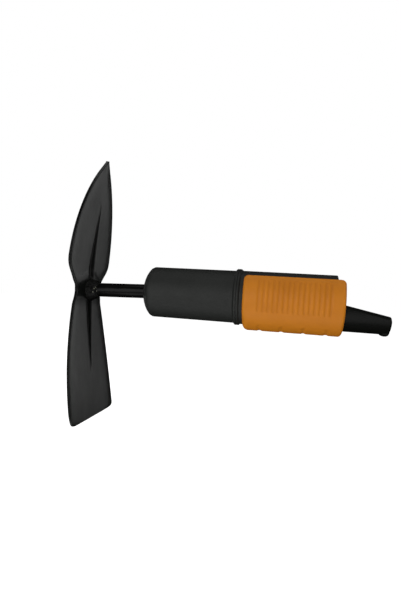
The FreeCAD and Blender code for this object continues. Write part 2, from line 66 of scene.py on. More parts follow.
def node_box(name):
    """Lowest and highest corner of a CAD node, in millimetres."""
    low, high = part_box(name)
    return low / MM, high / MM


BARREL_LOW, BARREL_HIGH = node_box("barrel")
CORE_LOW, CORE_HIGH = node_box("coupling_core")
SLEEVE_LOW, SLEEVE_HIGH = node_box("locking_sleeve")
TONGUE_LOW, TONGUE_HIGH = node_box("tongue")
BLADE_LOW, BLADE_HIGH = node_box("blade")
SHANK_LOW, SHANK_HIGH = node_box("shank")

# Blade
PLATE = 2.4                      # thickness
NECK_HALF = 18.5
LEAF_LENGTH, LEAF_LEAN, LEAF_BEND = 95.5, 2.99, 5.93
LOWER_LENGTH, LOWER_LEAN, LOWER_BEND = 92.4, 3.51, 6.89
LOWER_HALF = BLADE_HIGH.y
LEAF_HALF, LEAF_SHOULDER = 32.6, 20.0
# Half width from the neck up to the leaf's widest place, as (height, half width)
SHOULDER_SHAPE = [(0, NECK_HALF), (4.5, 21.0), (9.6, 25.2), (13.5, 29.4), (16.3, 31.4),
                  (LEAF_SHOULDER, LEAF_HALF)]
CORNER = 3.5
RIB_START, RIB_HALF, RIB_TIP, RIB_DEPTH = 6.0, 6.2, 0.8, 1.5
LEAF_RIB, LOWER_RIB = 58.0, 54.0
BOSS_TOP, BOSS_FALL, BOSS_BOTTOM, BOSS_HEIGHT = 15.0, 0.5, 8.0, 0.6
BOW_HEIGHT, BOW_FALL, BOW_FALL_SIDE = 0.55, 0.62, 0.42      # the bow falls off more on the far side
BOW_REACH, BOW_REACH_SIDE, BOW_TURN = 9.0, 2.0, 6.0
EDGE_ROUND = 0.7
GROUND_DEPTH, GROUND_WIDTH = 1.2, 9.0

# Shank
SHANK_RADIUS = 5.0
SHANK_DEPTH = 62.0               # behind the barrel's nose
TENON, TENON_RADIUS = 1.4, 4.0
WELD_LEG, WELD_RUN, WELD_SWELL = 3.6, 8.9, 0.55
CAP_RADIUS, CAP_HEIGHT = 5.3, 0.62
CANT = math.radians(1.66)
NOSE_X = BARREL_LOW.x
BLADE_X = SHANK_LOW.x + TENON
SHANK_OUT = (NOSE_X - BLADE_X) / math.cos(CANT)
NECK_Z = -SHANK_OUT * math.sin(CANT)

# Housing
RING_LINE = BARREL_HIGH.x
RING_RADIUS = BARREL_HIGH.y
RING_HALF = 2.4
NOSE_RADIUS, BARREL_RADIUS, BARREL_BORE = 17.68, 18.0, 14.8
NOSE_FLAT, NOSE_DOME, NOSE_SOLID = 6.0, 5.4, 14.3
CORE_RADIUS = TONGUE_HIGH.y
RAIL_HEIGHT = 17.95
SPLIT_Z = TONGUE_HIGH.z
ROOT_X = TONGUE_LOW.x
LAP_SLOPE, END_SLOPE = math.radians(11.5), math.radians(6.5)
TONGUE_REACH = 32.3
BEAD_PLACE, BEAD_HALF, BEAD_HEIGHT = 30.9, 2.3, 1.3
BEAD_ARC = math.radians(22)
LIP, RIM_WIDTH, LAP_SINK = 2.0, 2.6, 0.9

# Sleeve
SLEEVE_BORE = CORE_RADIUS + 0.3
SLEEVE_RADIUS = SLEEVE_BORE + 3.4
SLEEVE_EDGE = SLEEVE_HIGH.z
SLEEVE_CORNER, SLEEVE_END_ROUND = 3.2, 1.9
CHIN_DEPTH, CHIN_LENGTH = 1.2, 3.4
GRIP_START, GRIP_PITCH, GRIP_COUNT, GRIP_DEPTH = 10.35, 3.2, 15, 0.36
GRIP_TOP, GRIP_BOTTOM = 12.3, -9.6
UNDER_START, UNDER_PITCH, UNDER_COUNT = 11.3, 14.45, 4


# ---------------------------------------------------------------- mesh helpers

def mesh_piece(name, points, faces, material, body, replaces=(), crease=32):
    """Makes a piece from points in millimetres, smooth except across sharp edges."""
    mesh = bpy.data.meshes.new(name)
    mesh.from_pydata([Vector(p) * MM for p in points], [], faces)
    mesh.validate()
    mesh.polygons.foreach_set("use_smooth", [True] * len(mesh.polygons))
    mesh.set_sharp_from_angle(angle=math.radians(crease))
    piece = bpy.data.objects.new(name, mesh)
    bpy.context.scene.collection.objects.link(piece)
    piece.data.materials.append(material)
    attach(piece, body)
    if replaces:
        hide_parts(*replaces)
    return piece


def joined_loops(loops, close_start=True, close_end=True):
    """Points and faces of closed loops of equal length, joined in order, with flat end caps."""
    points = [p for loop in loops for p in loop]
    count = len(loops[0])
    faces = []
    for row in range(len(loops) - 1):
        a, b = row * count, (row + 1) * count
        for i in range(count):
            j = (i + 1) % count
            faces.append((a + i, b + i, b + j, a + j))
    if close_start:
        faces.append(tuple(range(count)))
    if close_end:
        last = (len(loops) - 1) * count
        faces.append(tuple(last + i for i in reversed(range(count))))
    return points, faces


def turned(profile, steps=128):
    """Loops about the X axis from a list of (x, radius)."""
    loops = []
    for x, radius in profile:
        angles = [2 * math.pi * i / steps for i in range(steps)]
        loops.append([(x, radius * math.cos(a), radius * math.sin(a)) for a in angles])
    return loops


def arc_points(centre, radius, start, end, steps):
    """Points (x, r) on an arc about a centre, angles in degrees."""
    out = []
    for i in range(steps + 1):
        a = math.radians(start + (end - start) * i / steps)
        out.append((centre[0] + radius[0] * math.cos(a), centre[1] + radius[1] * math.sin(a)))
    return out


def spread(start, end, gap):
    """Evenly spaced values from start to end, about gap apart."""
    count = max(1, round(abs(end - start) / gap))
    return [start + (end - start) * i / count for i in range(count + 1)]


def smooth(value):
    """Smoothstep of a value that is first held between 0 and 1."""
    value = min(1.0, max(0.0, value))
    return value * value * (3 - 2 * value)


def on_shank(x, y, z):
    """A point given along the canted shank axis, from the barrel's nose, in the CAD frame."""
    return (NOSE_X + x * math.cos(CANT) - z * math.sin(CANT), y,
            x * math.sin(CANT) + z * math.cos(CANT))


# ---------------------------------------------------------------- materials

class Paint:
    """Builds one Principled material with procedural nodes on object coordinates."""

    def __init__(self, name, roughness=0.5, specular=0.5, metallic=0.0):
        self.material = bpy.data.materials.new(name)
        self.material.use_nodes = True
        self.tree = self.material.node_tree
        self.shader = self.tree.nodes["Principled BSDF"]
        self.shader.inputs["Roughness"].default_value = roughness
        self.shader.inputs["Specular IOR Level"].default_value = specular
        self.shader.inputs["Metallic"].default_value = metallic
        self.place = self.node("ShaderNodeTexCoord").outputs["Object"]

    def node(self, kind, **settings):
        made = self.tree.nodes.new(kind)
        for key, value in settings.items():
            setattr(made, key, value)
        return made

    def link(self, source, target):
        self.tree.links.new(source, target)

    def stretched(self, x, y, z):
        """Object coordinates scaled along each axis."""
        made = self.node("ShaderNodeMapping")
        made.inputs["Scale"].default_value = (x, y, z)
        self.link(self.place, made.inputs["Vector"])
        return made.outputs["Vector"]

    def noise(self, scale, detail=3.0, rough=0.5, where=None):
        made = self.node("ShaderNodeTexNoise")
        made.inputs["Scale"].default_value = scale
        made.inputs["Detail"].default_value = detail
        made.inputs["Roughness"].default_value = rough
        self.link(where or self.place, made.inputs["Vector"])
        return made.outputs["Fac"]

    def cells(self, scale):
        made = self.node("ShaderNodeTexVoronoi", feature="SMOOTH_F1")
        made.inputs["Scale"].default_value = scale
        self.link(self.place, made.inputs["Vector"])
        return made.outputs["Distance"]

    def ramp(self, source, low, high, start=0.0, end=1.0):
        """Maps a value from [low, high] to [start, end]."""
        made = self.node("ShaderNodeMapRange")
        self.link(source, made.inputs["Value"])
        for key, value in zip(("From Min", "From Max", "To Min", "To Max"),
                              (low, high, start, end)):
            made.inputs[key].default_value = value
        return made.outputs["Result"]

    def math(self, kind, one, other):
        made = self.node("ShaderNodeMath", operation=kind)
        for socket, value in zip(made.inputs, (one, other)):
            if isinstance(value, (int, float)):
                socket.default_value = value
            else:
                self.link(value, socket)
        return made.outputs["Value"]

    def mix(self, factor, one, other):
        made = self.node("ShaderNodeMix", data_type="RGBA")
        self.link(factor, made.inputs["Factor"])
        for socket, value in ((made.inputs[6], one), (made.inputs[7], other)):
            if isinstance(value, tuple):
                socket.default_value = (*value, 1.0)
            else:
                self.link(value, socket)
        return made.outputs[2]

    def axis(self, letter):
        """One object coordinate."""
        made = self.node("ShaderNodeSeparateXYZ")
        self.link(self.place, made.inputs[0])
        return made.outputs[letter]

    def near(self, centre, radius):
        """1 at a point, falling to 0 at a radius, both in metres."""
        made = self.node("ShaderNodeVectorMath", operation="DISTANCE")
        self.link(self.place, made.inputs[0])
        made.inputs[1].default_value = centre
        return self.ramp(made.outputs["Value"], 0.0, radius, 1.0, 0.0)

    def edges(self, low, high):
        """1 on convex edges, 0 elsewhere."""
        return self.ramp(self.node("ShaderNodeNewGeometry").outputs["Pointiness"], low, high)

    def colour(self, source):
        self.link(source, self.shader.inputs["Base Color"])

    def roughness(self, source):
        self.link(source, self.shader.inputs["Roughness"])

    def bump(self, *layers):
        """Stacks bumps given as (height, depth in metres)."""
        last = None
        for height, depth in layers:
            made = self.node("ShaderNodeBump")
            made.inputs["Distance"].default_value = depth
            self.link(height, made.inputs["Height"])
            if last:
                self.link(last, made.inputs["Normal"])
            last = made.outputs["Normal"]
        self.link(last, self.shader.inputs["Normal"])


def blade_coat():
    """Satin black coating over rolled plate, with painted shade in the ribs and round the weld,
    painted shade on the plate's side faces and a painted highlight along its rounded rim.
    """
    paint = Paint("blade_coat", specular=0.08)
    cloud = paint.noise(38, 5, 0.6)
    streak = paint.noise(9, 6, 0.65, paint.stretched(18, 14, 1.2))
    tone = paint.math("ADD", paint.math("MULTIPLY", cloud, 0.5),
                      paint.math("MULTIPLY", streak, 0.5))
    base = paint.mix(paint.ramp(tone, 0.35, 0.65), (0.0125, 0.0142, 0.0126),
                     (0.019, 0.0212, 0.0190))
    # painted shade: the ribs and the boss round the weld get a near-black colour and less coat
    shade_pool = paint.math("MAXIMUM", rib_shade(paint), boss_shade(paint, cloud))
    # painted shade on the plate's side faces, picked by the way they face
    rim = side_face_shade(paint)
    # painted highlight: a lighter colour along the plate's rounded convex edges, broken up by the
    # cloud noise
    rim_highlight = paint.math("MULTIPLY", paint.edges(0.53, 0.58), paint.ramp(cloud, 0.36, 0.52))
    # near-black colour of the painted shade in the ribs, round the boss and on the side faces
    shaded = paint.mix(paint.math("MAXIMUM", shade_pool, rim), base, (0.0025, 0.0026, 0.0025))
    paint.colour(paint.mix(rim_highlight, shaded, (0.075, 0.078, 0.075)))
    paint.roughness(paint.ramp(paint.noise(160, 4), 0.3, 0.7, 0.38, 0.48))
    satin = paint.ramp(tone, 0.35, 0.65, 0.82, 1.0)
    glossy = paint.math("MULTIPLY", paint.ramp(shade_pool, 0, 1, 1.0, 0.08), paint.ramp(rim, 0, 1, 1, 0))
    paint.link(paint.math("MULTIPLY", satin, glossy), paint.shader.inputs["Coat Weight"])
    paint.shader.inputs["Coat Roughness"].default_value = 0.28
    paint.bump((paint.noise(1400, 3), 0.00005), (paint.noise(70, 2), 0.00012))
    return paint.material


def side_face_shade(paint):
    """Mask of painted shade: 1 on the plate's side faces, picked by the way they face, where the
    colour is darkened and the coat taken off.
    """
    facing = paint.node("ShaderNodeSeparateXYZ")
    paint.link(paint.node("ShaderNodeNewGeometry").outputs["Normal"], facing.inputs[0])
    return paint.ramp(paint.math("ABSOLUTE", facing.outputs["Y"], 0), 0.55, 0.85)


def rib_shade(paint):
    """Mask of painted shade: 1 along the floor of the two ribs, from the neck to where they run out.
    """
    along = paint.math("ABSOLUTE", paint.math("SUBTRACT", paint.axis("Z"), NECK_Z * MM), 0)
    aside = paint.math("ABSOLUTE", paint.axis("Y"), 0)
    reach = (RIB_START + (LEAF_RIB + LOWER_RIB) / 2) * MM
    half = paint.ramp(along, RIB_START * MM, reach, 0.9 * RIB_HALF * MM, 0.1 * MM)
    depth = paint.math("SUBTRACT", half, aside)
    return paint.math("MULTIPLY", paint.ramp(depth, -1.0 * MM, 1.6 * MM),
                      paint.ramp(along, reach, 0.8 * reach, 0, 0.9))


def boss_shade(paint, cloud):
    """Mask of painted shade: 1 on the boss round the weld, with an uneven border."""
    height = paint.math("SUBTRACT", paint.axis("Z"), NECK_Z * MM)
    aside = paint.math("MULTIPLY", paint.math("ABSOLUTE", paint.axis("Y"), 0), BOSS_FALL)
    above = paint.math("SUBTRACT", BOSS_TOP * MM, paint.math("ADD", height, aside))
    below = paint.math("ADD", height, (BOSS_BOTTOM + 3) * MM)
    depth = paint.math("ADD", paint.math("MINIMUM", above, below),
                       paint.ramp(cloud, 0.3, 0.7, -1.2 * MM, 1.2 * MM))
    return paint.ramp(depth, -2.8 * MM, 3.6 * MM, 0, 0.62)


def shank_coat():
    """Gloss black coating on a drawn rod."""
    paint = Paint("shank_coat", specular=0.085)
    cloud = paint.noise(120, 4)
    paint.colour(paint.mix(paint.ramp(cloud, 0.3, 0.7), (0.0022, 0.0022, 0.0022),
                           (0.0045, 0.0045, 0.0042)))
    paint.roughness(paint.ramp(paint.noise(260, 4), 0.3, 0.7, 0.24, 0.33))
    paint.bump((paint.noise(900, 3, 0.5, paint.stretched(0.25, 1, 1)), 0.00004))
    return paint.material


def weld_coat():
    """Coated weld, with painted glints: light grey spots on the near side."""
    paint = Paint("weld_coat", specular=0.10)
    cloud = paint.noise(500, 5)
    glints = None
    for x, y, z, radius in WELD_GLINTS:
        glint = paint.ramp(paint.math("ADD", paint.near((x * MM, y * MM, z * MM), radius * MM),
                                     paint.ramp(cloud, 0.3, 0.7, -0.2, 0.2)), 0.2, 0.55)
        glints = paint.math("MAXIMUM", glints, glint) if glints else glint
    dark = paint.mix(paint.ramp(cloud, 0.35, 0.65), (0.003, 0.003, 0.003), (0.010, 0.010, 0.0095))
    # painted glints: light grey spots over the dark weld colour
    paint.colour(paint.mix(glints, dark, (0.24, 0.24, 0.19)))
    paint.roughness(paint.ramp(cloud, 0.3, 0.7, 0.32, 0.5))
    paint.bump((paint.noise(1200, 4), 0.00016))
    return paint.material


def housing_plastic():
    """Black plastic with the fine grain of an eroded mould."""
    paint = Paint("housing_plastic", specular=0.33)
    cloud = paint.noise(55, 4)
    paint.colour(paint.mix(paint.ramp(cloud, 0.3, 0.7), (0.0088, 0.0100, 0.0088),
                           (0.0128, 0.0143, 0.0128)))
    grain = paint.noise(2100, 3, 0.6)
    paint.roughness(paint.ramp(grain, 0.3, 0.7, 0.52, 0.72))
    paint.bump((paint.cells(1500), 0.00009), (grain, 0.00007))
    return paint.material


def tongue_plastic():
    """Smoother, darker plastic with faint flow lines."""
    paint = Paint("tongue_plastic", specular=0.09)
    flow = paint.noise(30, 5, 0.6, paint.stretched(1, 3, 5))
    paint.colour(paint.mix(paint.ramp(flow, 0.3, 0.7), (0.0030, 0.0033, 0.0028),
                           (0.0055, 0.0058, 0.0050)))
    paint.roughness(paint.ramp(flow, 0.3, 0.7, 0.36, 0.48))
    paint.bump((paint.noise(800, 3), 0.00004))
    return paint.material


def sleeve_plastic():
    """Satin orange plastic with slight mottling, painted shade in the grip grooves and a painted
    highlight on convex edges.
    """
    paint = Paint("sleeve_plastic", specular=0.22)
    cloud = paint.noise(42, 5, 0.55)
    base = paint.mix(paint.ramp(cloud, 0.3, 0.7), (0.55, 0.178, 0.008), (0.64, 0.215, 0.012))
    # painted highlight: a lighter orange on convex edges such as the rib crests
    crest = paint.ramp(paint.edges(0.5, 0.58), 0, 1, 0.0, 0.3)
    # painted shade: a darker orange in the floor of the grip grooves
    groove_shaded = paint.mix(grip_groove_shade(paint), base, (0.33, 0.088, 0.004))
    paint.colour(paint.mix(crest, groove_shaded, (0.72, 0.29, 0.045)))
    paint.roughness(paint.ramp(paint.noise(600, 4), 0.3, 0.7, 0.48, 0.62))
    paint.bump((paint.noise(1700, 3), 0.00005), (paint.noise(240, 2), 0.00003))
    return paint.material


def grip_groove_shade(paint):
    """Mask of painted shade: 1 at the floor of the grip grooves, 0 on the ribs between them and off
    the panel.
    """
    start = (SLEEVE_LOW.x + GRIP_START) * MM
    turn = 2 * math.pi / (GRIP_PITCH * MM)
    wave = paint.math("COSINE", paint.math("MULTIPLY",
                                           paint.math("SUBTRACT", paint.axis("X"), start), turn), 0)
    end = start + (GRIP_COUNT - 0.5) * GRIP_PITCH * MM
    ahead = paint.ramp(paint.axis("X"), start - 1.5 * MM, start - 0.8 * MM)
    behind = paint.ramp(paint.axis("X"), end, end - 0.8 * MM)
    above = paint.ramp(paint.axis("Z"), GRIP_TOP * MM, (GRIP_TOP - 1.2) * MM)
    below = paint.ramp(paint.axis("Z"), GRIP_BOTTOM * MM, (GRIP_BOTTOM + 1.2) * MM)
    panel = paint.math("MULTIPLY", paint.math("MULTIPLY", ahead, behind),
                       paint.math("MULTIPLY", above, below))
    return paint.math("MULTIPLY", paint.ramp(wave, -0.5, 1.0, 0, 0.24), panel)


def bare_steel(name, low, high, scale):
    """Plated or blued steel with fine drawing marks."""
    paint = Paint(name, metallic=1.0)
    marks = paint.noise(scale, 5, 0.6, paint.stretched(1, 1, 6))
    paint.colour(paint.mix(paint.ramp(marks, 0.3, 0.7), low, high))
    paint.roughness(paint.ramp(marks, 0.3, 0.7, 0.22, 0.4))
    paint.bump((marks, 0.00003))
    return paint.material


# ---------------------------------------------------------------- blade

def centreline(s):
    """Place (x, z) of the plate's handle side at a length s from the neck, and its lean."""
    if s >= 0:
        length, lean, bend, sign = LEAF_LENGTH, LEAF_LEAN, LEAF_BEND, 1
    else:
        length, lean, bend, sign = LOWER_LENGTH, LOWER_LEAN, LOWER_BEND, -1
    start = math.radians(lean)
    radius = length / math.radians(bend)
    angle = start + abs(s) / radius
    x = radius * (math.cos(start) - math.cos(angle))
    z = radius * (math.sin(angle) - math.sin(start))
    return BLADE_X + x, NECK_Z + sign * z, sign * angle


def outline_half(s):
    """Half width of the plate at a length s from the neck, before the neck is smoothed."""
    if s >= LEAF_SHOULDER:
        rise = LEAF_LENGTH - LEAF_SHOULDER
        radius = (rise ** 2 + LEAF_HALF ** 2) / (2 * LEAF_HALF)
        return LEAF_HALF - radius + math.sqrt(radius ** 2 - (s - LEAF_SHOULDER) ** 2)
    if s >= 0:
        for (s0, w0), (s1, w1) in zip(SHOULDER_SHAPE, SHOULDER_SHAPE[1:]):
            if s <= s1:
                return w0 + (w1 - w0) * (s - s0) / (s1 - s0)
    fall = LOWER_LENGTH - CORNER
    flare = LOWER_HALF - NECK_HALF
    radius = (fall ** 2 + flare ** 2) / (2 * flare)
    if -s <= fall:
        return LOWER_HALF - radius + math.sqrt(radius ** 2 - (fall + s) ** 2)
    inset = min(CORNER, -s - fall)
    return LOWER_HALF - CORNER + math.sqrt(max(0.0, CORNER ** 2 - inset ** 2))


def half_width(s):
    """Half width of the plate, with the neck and the leaf's shoulder rounded off."""
    if -10 < s < 30:
        reach = 2.6 * smooth((s + 10) / 4) * smooth((30 - s) / 6)
        taps = [outline_half(s + reach * k / 3) for k in range(-3, 4)]
        return sum(taps) / len(taps)
    return outline_half(s)


def boss(s, y):
    """1 on the boss that the press raises round the shank's root, falling to 0 round it."""
    top = BOSS_TOP - BOSS_FALL * abs(y)
    return smooth((top - s) / 5.0 + 0.5) * smooth((s + BOSS_BOTTOM) / 6.0 + 0.5)


def pressed(s, y):
    """How far the press pushed the plate to the front in its two tapering ribs."""
    length = LEAF_RIB if s > 0 else LOWER_RIB
    along = (abs(s) - RIB_START) / length
    if not 0 < along < 1:
        return 0.0
    half = RIB_TIP + (RIB_HALF - RIB_TIP) * (1 - along)
    wall = max(0.0, 1 - abs(y) / half)
    soft = wall * wall * (1.6 - 0.6 * wall)
    return RIB_DEPTH * (1 - along) ** 0.6 * soft * smooth(along / 0.10)


def plate_offsets(s, y, half):
    """Offsets of the handle side and of the front side from the plate's middle sheet."""
    slope = (half_width(min(s + 0.5, LEAF_LENGTH)) - half_width(s - 0.5))
    rim = (half - abs(y)) / math.hypot(1, slope)
    wave = noise.noise(Vector((s * 0.035, y * 0.05, 3.7))) * 0.10
    side = max(-1.0, min(1.0, y / BOW_TURN))
    fall, reach = BOW_FALL + BOW_FALL_SIDE * side, BOW_REACH + BOW_REACH_SIDE * side
    bow = BOW_HEIGHT - fall * max(0.0, 1 - rim / reach) ** 2
    push = bow - pressed(s, y) + wave * smooth(rim / 6) + BOSS_HEIGHT * boss(s, y)
    edge = min(EDGE_ROUND, 0.4 * half)
    near = max(0.0, edge - rim)
    rounded = edge - math.sqrt(edge ** 2 - near ** 2)
    ground = 0.0
    if s < 0:
        ground = GROUND_DEPTH * max(0.0, 1 - (LOWER_LENGTH + s) / GROUND_WIDTH)
    return push - rounded, push - PLATE + max(rounded, ground)


def make_blade(material):
    """Pressed plate as two sheets joined round the rim."""
    rows = spread(-LOWER_LENGTH, -LOWER_LENGTH + CORNER, 0.35)
    rows += spread(-LOWER_LENGTH + CORNER, -14, 1.1)[1:] + spread(-14, 24, 0.6)[1:]
    rows += spread(24, 88, 1.0)[1:] + spread(88, LEAF_LENGTH - 0.25, 0.35)[1:]
    rims = [0.0, 0.12, 0.35, 0.65, 1.0, 1.5, 2.2, 3.2]
    middle = spread(-1, 1, 0.034)
    sheets = [[], []]
    for s in rows:
        half = max(0.45, half_width(s))
        squeeze = min(1.0, half / 9)
        inner = half - rims[-1] * squeeze
        across = [half - r * squeeze for r in rims[:-1]]
        tight = [inner * v * (0.62 + 0.38 * v * v) for v in middle]
        ys = [-y for y in across] + tight + across[::-1]
        x, z, lean = centreline(s)
        for sheet, index in ((sheets[0], 0), (sheets[1], 1)):
            for y in ys:
                off = plate_offsets(s, y, half)[index]
                sheet.append((x + off * math.cos(lean), y, z - off * math.sin(lean)))
    width = len(sheets[0]) // len(rows)
    total = len(sheets[0])
    faces = []
    for r in range(len(rows) - 1):
        for c in range(width - 1):
            a, b = r * width + c, (r + 1) * width + c
            faces.append((a, a + 1, b + 1, b))
            faces.append((total + a, total + b, total + b + 1, total + a + 1))
    ring = [r * width for r in range(len(rows))]
    ring += [(len(rows) - 1) * width + c for c in range(1, width)]
    ring += [r * width + width - 1 for r in reversed(range(len(rows) - 1))]
    ring += list(reversed(range(1, width - 1)))
    for a, b in zip(ring, ring[1:] + ring[:1]):
        faces.append((a, b, total + b, total + a))
    return mesh_piece("pressed_blade", sheets[0] + sheets[1], faces, material, "head",
                      ["blade"], crease=40)


# ---------------------------------------------------------------- shank and welds

def make_shank(material):
    """Drawn rod, with a smaller tenon where it meets the blade."""
    profile = [(-SHANK_OUT - TENON, 0.01), (-SHANK_OUT - TENON, TENON_RADIUS),
               (-SHANK_OUT - 0.02, TENON_RADIUS),
               (-SHANK_OUT, SHANK_RADIUS)]
    profile += [(x, SHANK_RADIUS) for x in spread(-SHANK_OUT, SHANK_DEPTH - 1, 1.5)[1:]]
    profile += [(SHANK_DEPTH, SHANK_RADIUS - 1), (SHANK_DEPTH, 0.01)]
    loops = []
    for x, radius in profile:
        loop = []
        for i in range(72):
            a = 2 * math.pi * i / 72
            wave = noise.noise(Vector((x * 0.09, math.cos(a), math.sin(a)))) * 0.05
            grown = radius + wave if radius > 4.5 else radius
            loop.append(on_shank(x, grown * math.cos(a), grown * math.sin(a)))
        loops.append(loop)
    points, faces = joined_loops(loops)
    return mesh_piece("round_shank", points, faces, material, "head", ["shank"])


def make_root_weld(material):
    """Hand-laid weld built up round the root, with ripples that lie back along its run."""
    steps = 168
    section = 18
    loops = []
    for i in range(steps):
        a = 2 * math.pi * i / steps
        ripple = 0.18 * math.sin(a * 17 + 0.8 * math.sin(a * 3)) + 0.30 * noise.noise(
            Vector((1.7 * math.cos(a), 1.7 * math.sin(a), 5.1)))
        leg = WELD_LEG + ripple
        run = WELD_RUN + 0.9 * ripple
        loop = []
        for k in range(section + 1):
            share = k / section
            swell = WELD_SWELL * math.sin(math.pi * share)
            ring = 0.16 * math.sin(share * 16 + a * 2)
            skew = 0.05 * math.sin(math.pi * share) * math.sin(a * 17)
            x = -SHANK_OUT - 0.6 + (run + 0.6) * share + 0.5 * swell
            fade = math.sin(math.pi * share)
            radius = SHANK_RADIUS - 0.1 + leg * (1 - share) + swell + ring * fade
            loop.append(on_shank(x, radius * math.cos(a + skew), radius * math.sin(a + skew)))
        for x, radius in ((-SHANK_OUT + 0.6 * run, SHANK_RADIUS - 0.6),
                          (-SHANK_OUT - 0.6, SHANK_RADIUS - 0.8)):
            loop.append(on_shank(x, radius * math.cos(a), radius * math.sin(a)))
        loops.append(loop)
    count = len(loops[0])
    points = [p for loop in loops for p in loop]
    faces = []
    for i in range(steps):
        a, b = i * count, (i + 1) % steps * count
        for k in range(count):
            j = (k + 1) % count
            faces.append((a + k, a + j, b + j, b + k))
    return mesh_piece("root_weld_bead", points, faces, material, "head", ["root_weld"], crease=60)


def make_tenon_weld(material):
    """Low puddle of weld over the tenon, on the front of the blade."""
    steps = 96
    back = -SHANK_OUT - TENON
    front = -SHANK_OUT - PLATE - CAP_HEIGHT
    loops = [[on_shank(back, 0.01 * math.cos(2 * math.pi * i / steps),
                       0.01 * math.sin(2 * math.pi * i / steps)) for i in range(steps)]]
    foot = -SHANK_OUT - PLATE - 0.4
    rings = [(back, TENON_RADIUS), (foot, TENON_RADIUS), (foot, CAP_RADIUS)]
    rings += [(front + 0.28 * (r / CAP_RADIUS) ** 2, r) for r in (5.0, 4.2, 3.4, 2.6, 1.8, 1.0, 0.3)]
    for x, radius in rings:
        loop = []
        for i in range(steps):
            a = 2 * math.pi * i / steps
            grown = radius * (1 + 0.05 * noise.noise(Vector((2 * math.cos(a), 2 * math.sin(a), 9))))
            dent = 0.05 * math.sin(radius * 4.5 + a) if x < back - 1 else 0
            loop.append(on_shank(x + dent, grown * math.cos(a), grown * math.sin(a)))
        loops.append(loop)
    points, faces = joined_loops(loops)
    return mesh_piece("tenon_weld_cap", points, faces, material, "head", ["tenon_weld"])


# ---------------------------------------------------------------- housing

def bead_profile(side):
    """Half of the ring bead, from the parting line outwards, as (x, radius)."""
    crest = RING_RADIUS
    return [(RING_LINE + side * 0.03, crest - 0.32), (RING_LINE + side * 0.22, crest - 0.04),
            (RING_LINE + side * 0.5, crest), (RING_LINE + side * 1.2, crest - 0.02),
            (RING_LINE + side * 1.5, crest - 0.16), (RING_LINE + side * 2.1, crest - 0.85),
            (RING_LINE + side * RING_HALF, crest - 1.25)]


def make_barrel(material):
    """Housing shell with a domed nose and the front half of the ring bead."""
    back = RING_LINE - RING_HALF
    rise = NOSE_RADIUS - NOSE_FLAT
    dome = (rise ** 2 + NOSE_DOME ** 2) / (2 * NOSE_DOME)
    last_angle = 180 - math.degrees(math.asin(rise / dome))
    profile = [(NOSE_X + NOSE_SOLID, 5.06), (NOSE_X + 0.9, 5.06), (NOSE_X + 0.3, 5.2), (NOSE_X, 5.5)]
    profile += arc_points((NOSE_X + dome, NOSE_FLAT), (dome, dome), 180, last_angle + 4, 24)
    start = NOSE_X + NOSE_DOME + 0.8
    body = spread(start, back - 0.6, 2.0)
    span = back - start
    profile += [(x, NOSE_RADIUS + (BARREL_RADIUS - NOSE_RADIUS) * (x - start) / span)
                for x in body]
    profile += [(back - 0.15, BARREL_RADIUS + 0.02)]
    profile += bead_profile(-1)[::-1]
    profile += [(RING_LINE - 0.03, BARREL_BORE), (NOSE_X + NOSE_SOLID, BARREL_BORE)]
    loops = turned(profile, 160)
    for row, (x, radius) in enumerate(profile):
        if radius < NOSE_FLAT:
            drop = (x - NOSE_X) * math.tan(CANT)
            loops[row] = [(px, py, pz + drop) for px, py, pz in loops[row]]
    points, faces = joined_loops(loops, False, False)
    count = len(loops[0])
    last = (len(loops) - 1) * count
    for i in range(count):
        j = (i + 1) % count
        faces.append((last + i, i, j, last + j))
    return mesh_piece("barrel_shell", points, faces, material, "head", ["barrel"])


def rounded_d(top, radius, arc_steps=96, flat_steps=24, chamfer=0.8):
    """Section below a flat top: (y, z) points, an arc of the radius and a softened flat."""
    reach = math.asin(max(-1.0, min(1.0, top / radius)))
    start = math.pi - reach + chamfer / radius
    end = 2 * math.pi + reach - chamfer / radius
    points = [(radius * math.cos(start + (end - start) * i / arc_steps),
               radius * math.sin(start + (end - start) * i / arc_steps))
              for i in range(arc_steps + 1)]
    half = math.sqrt(max(0.0, radius ** 2 - top ** 2)) - chamfer
    points += [(half - 2 * half * i / flat_steps, top) for i in range(flat_steps + 1)]
    return points


def make_core(material):
    """Core behind the parting line: half bead, round body, and the half with the top rail."""
    front = RING_LINE + RING_HALF
    loops = []
    for x, radius in [(RING_LINE + 0.03, 14.5)] + bead_profile(1)[:-1]:
        loops.append([(x, y, z) for y, z in rounded_d(radius * 0.999, radius, chamfer=0.4)])
    for x, top in ((front, 18.42), (front + 0.4, RAIL_HEIGHT), (ROOT_X - 0.4, RAIL_HEIGHT),
                   (ROOT_X, RAIL_HEIGHT - 0.4)):
        grown = CORE_RADIUS if x < ROOT_X else CORE_RADIUS - 0.4
        loops.append([(x, y, z) for y, z in rounded_d(top, grown, chamfer=0.4)])
    points, faces = joined_loops(loops)
    upper = []
    for x, inset in ((ROOT_X - 0.4, 0.0), (-0.55, 0.0), (-0.17, 0.12), (0.0, 0.5)):
        section = upper_section(inset)
        upper.append([(x, y, z) for y, z in section])
    more_points, more_faces = joined_loops(upper)
    shift = len(points)
    faces += [tuple(i + shift for i in face) for face in more_faces]
    return mesh_piece("core_moulding", points + more_points, faces, material, "head",
                      ["coupling_core"])


def upper_section(inset):
    """Section above the split: (y, z) points, drawn in by an inset all round."""
    radius = CORE_RADIUS - inset
    top = RAIL_HEIGHT - inset
    low = SPLIT_Z + inset
    reach = math.acos(min(1.0, top / radius))
    start, end = math.asin(low / radius), math.pi / 2 - reach
    right = [(radius * math.cos(start + (end - start) * i / 40),
              radius * math.sin(start + (end - start) * i / 40)) for i in range(41)]
    left = [(-y, z) for y, z in reversed(right)]
    middle = [(y, top) for y in spread(right[-1][0], left[0][0], 0.8)[1:-1]]
    return right + middle + left


